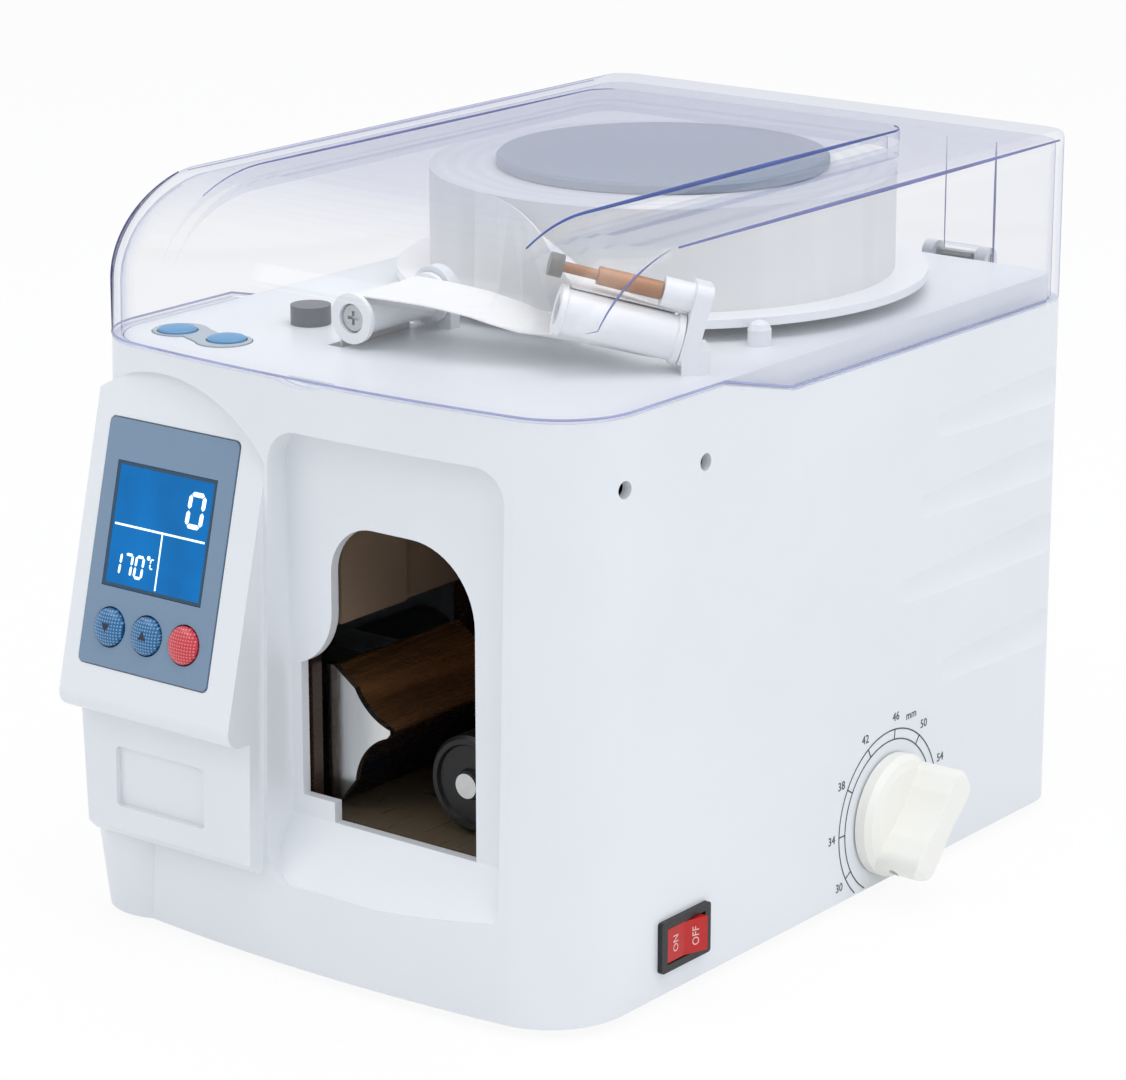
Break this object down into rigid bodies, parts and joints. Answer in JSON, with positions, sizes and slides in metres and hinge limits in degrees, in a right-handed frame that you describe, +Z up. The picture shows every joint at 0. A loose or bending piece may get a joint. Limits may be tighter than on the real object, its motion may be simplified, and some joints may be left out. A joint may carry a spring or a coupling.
{
  "type": "banknote strapping machine",
  "caption": "Bench-top machine that wraps a paper strap round a bundle of notes, with an arched note opening, a clear hinged cover over the tape reel, a display and a position knob.",
  "frame": {"origin": "middle of the overall footprint, on the floor under the feet", "axes": "+Z up, -Y out of the front with the note opening, +X to the side with the switch and knob"},
  "size_m": [0.2001, 0.2802, 0.219],
  "materials": {
    "white_shell": "moulded, semi-gloss",
    "white_plastic": "moulded, glossy",
    "warm_white": "moulded, glossy",
    "zinc_steel": "zinc-plated",
    "bright_steel": "polished",
    "foot_rubber": "moulded",
    "panel_blue_grey": "satin paint",
    "display_blue": "lit display window",
    "circuit_green": "solder mask",
    "button_blue": "domed cap",
    "button_red": "domed cap",
    "keypad_grey": "printed film",
    "key_blue": "domed key",
    "dark_grey": "moulded, knurled look",
    "clear_cover": "clear tinted acrylic",
    "tape_paper": "smooth white paper",
    "reel_cap_grey": "moulded",
    "copper_pin": "copper-plated",
    "bronze": "sintered",
    "black_plastic": "moulded",
    "rocker_red": "moulded",
    "gear_plastic": "acetal",
    "tan_plate": "passivated sheet",
    "black_plate": "black oxide",
    "floor_cream": "passivated sheet",
    "guide_brown": "moulded",
    "press_brown": "heat-tinted",
    "motor_grey": "satin",
    "coil_bronze": "lacquered"
  },
  "bodies": {
    "chassis": {"housing": "white_shell", "base_plate": "zinc_steel", "feet": "foot_rubber", "foot_screws": "zinc_steel", "top_deck": "white_shell", "control_panel": "panel_blue_grey", "display_window": "display_blue", "display_board": "circuit_green", "deck_keypad": "keypad_grey", "hinge_pins": "zinc_steel", "reel_spindle": "zinc_steel", "roller_studs": "zinc_steel", "roller_bracket": "white_plastic", "guide_pin": "copper_pin", "guide_cap": "dark_grey", "tape_lead": "tape_paper", "switch_frame": "black_plastic", "knob_bush": "bronze", "left_frame": "zinc_steel", "right_frame": "black_plate", "frame_fittings": "zinc_steel", "throat_floor": "floor_cream", "strap_guide": "guide_brown", "press_guide": "zinc_steel", "press_motor": "motor_grey", "feed_motor": "motor_grey", "feed_bracket": "zinc_steel", "seal_solenoid": "coil_bronze", "control_board": "circuit_green", "power_inlet": "black_plastic", "transformer": "motor_grey", "housing_screws": "zinc_steel"},
    "cover_body": {"cover": "clear_cover"},
    "reel": {"reel_tray": "white_plastic", "tape_roll": "tape_paper", "reel_cap": "reel_cap_grey"},
    "left_guide": {"left_roller": "white_plastic"},
    "right_guide": {"right_roller": "white_plastic"},
    "bush": {"guide_bush": "copper_pin"},
    "knob": {"position_knob": "warm_white", "knob_shaft": "zinc_steel"},
    "stop": {"stop_rack": "gear_plastic", "stop_plate": "tan_plate"},
    "rocker": {"switch_rocker": "rocker_red"},
    "down_key": {"button_down": "button_blue"},
    "up_key": {"button_up": "button_blue"},
    "clear_key": {"button_clear": "button_red"},
    "left_key": {"deck_key_left": "key_blue"},
    "right_key": {"deck_key_right": "key_blue"},
    "thumbscrew": {"deck_thumbscrew": "dark_grey"},
    "press": {"press_jaw": "bright_steel", "press_bar": "press_brown", "press_rack": "gear_plastic"},
    "press_drive": {"press_pinion": "bright_steel"},
    "feed": {"feed_roller": "foot_rubber"},
    "pinch": {"pinch_roller": "bright_steel"},
    "feed_drive": {"feed_pinion": "bright_steel"},
    "sealer": {"heater_block": "bronze", "cutter_blade": "bright_steel"},
    "anvil": {"anvil_wheel": "foot_rubber"}
  },
  "joints": [
    {"name": "cover_hinge", "type": "hinge", "parent": "chassis", "child": "cover_body", "pos_m": [-0.01, 0.13647, 0.17], "axis": [-1, 0, 0], "range_deg": [0, 95]},
    {"name": "reel_spin", "type": "hinge", "parent": "chassis", "child": "reel", "pos_m": [-0.01, 0.04027, 0.1785], "axis": [0, 0, 1], "continuous": true},
    {"name": "left_roller_spin", "type": "hinge", "parent": "chassis", "child": "left_guide", "pos_m": [-0.0277, -0.07323, 0.1808], "axis": [0, 1, 0], "continuous": true},
    {"name": "right_roller_spin", "type": "hinge", "parent": "chassis", "child": "right_guide", "pos_m": [0.0599, -0.04713, 0.1808], "axis": [-0.7133, -0.6513, 0.2588], "continuous": true},
    {"name": "guide_bush_spin", "type": "hinge", "parent": "chassis", "child": "bush", "pos_m": [0.06219, -0.04503, 0.19239], "axis": [-0.7133, -0.6513, 0.2588], "continuous": true},
    {"name": "knob_turn", "type": "hinge", "parent": "chassis", "child": "knob", "pos_m": [0.09, 0.03297, 0.024], "axis": [-1, 0, 0], "range_deg": [0, 191]},
    {"name": "stop_slide", "type": "slide", "parent": "chassis", "child": "stop", "axis": [0, 1, 0], "range_m": [0, 0.024]},
    {"name": "rocker_tilt", "type": "hinge", "parent": "chassis", "child": "rocker", "pos_m": [0.077, -0.07123, 0.0175], "axis": [0, 0, 1], "range_deg": [0, 18]},
    {"name": "button_down_press", "type": "slide", "parent": "chassis", "child": "down_key", "axis": [0, 0.9711, -0.2385], "range_m": [0, 0.0012], "stiffness_N_per_m": 120, "springref_m": -0.0012},
    {"name": "button_up_press", "type": "slide", "parent": "chassis", "child": "up_key", "axis": [0, 0.9711, -0.2385], "range_m": [0, 0.0012], "stiffness_N_per_m": 120, "springref_m": -0.0012},
    {"name": "button_clear_press", "type": "slide", "parent": "chassis", "child": "clear_key", "axis": [0, 0.9711, -0.2385], "range_m": [0, 0.0012], "stiffness_N_per_m": 120, "springref_m": -0.0012},
    {"name": "deck_key_left_press", "type": "slide", "parent": "chassis", "child": "left_key", "axis": [0, 0, -1], "range_m": [0, 0.0008], "stiffness_N_per_m": 120, "springref_m": -0.0012},
    {"name": "deck_key_right_press", "type": "slide", "parent": "chassis", "child": "right_key", "axis": [0, 0, -1], "range_m": [0, 0.0008], "stiffness_N_per_m": 120, "springref_m": -0.0012},
    {"name": "thumbscrew_turn", "type": "hinge", "parent": "chassis", "child": "thumbscrew", "pos_m": [-0.058, -0.06573, 0.172], "axis": [0, 0, 1], "range_deg": [0, 270]},
    {"name": "press_drive_turn", "type": "hinge", "parent": "chassis", "child": "press_drive", "pos_m": [-0.055, -0.06573, 0.062], "axis": [0, 1, 0], "range_deg": [0, 114.61]},
    {"name": "press_slide", "type": "slide", "parent": "chassis", "child": "press", "axis": [1, 0, 0], "range_m": [0, 0.012]},
    {"name": "anvil_spin", "type": "hinge", "parent": "chassis", "child": "anvil", "pos_m": [0.028, -0.09506, 0.0593], "axis": [0, 1, 0], "continuous": true},
    {"name": "feed_drive_spin", "type": "hinge", "parent": "chassis", "child": "feed_drive", "pos_m": [-0.0501, -0.06573, 0.13], "axis": [0, 1, 0], "continuous": true},
    {"name": "feed_spin", "type": "hinge", "parent": "chassis", "child": "feed", "pos_m": [-0.0396, -0.06573, 0.13], "axis": [0, 1, 0], "continuous": true},
    {"name": "pinch_spin", "type": "hinge", "parent": "chassis", "child": "pinch", "pos_m": [-0.0276, -0.06573, 0.13], "axis": [0, 1, 0], "continuous": true},
    {"name": "sealer_slide", "type": "slide", "parent": "chassis", "child": "sealer", "axis": [1, 0, 0], "range_m": [0, 0.005]}
  ],
  "couplings": [
    {"joint": "knob_turn", "follows": "stop_slide", "rad_per_m": 138.9},
    {"joint": "press_drive_turn", "follows": "press_slide", "rad_per_m": 166.67},
    {"joint": "feed_drive_spin", "follows": "pinch_spin", "ratio": 1.3333},
    {"joint": "feed_spin", "follows": "pinch_spin", "ratio": -1}
  ]
}
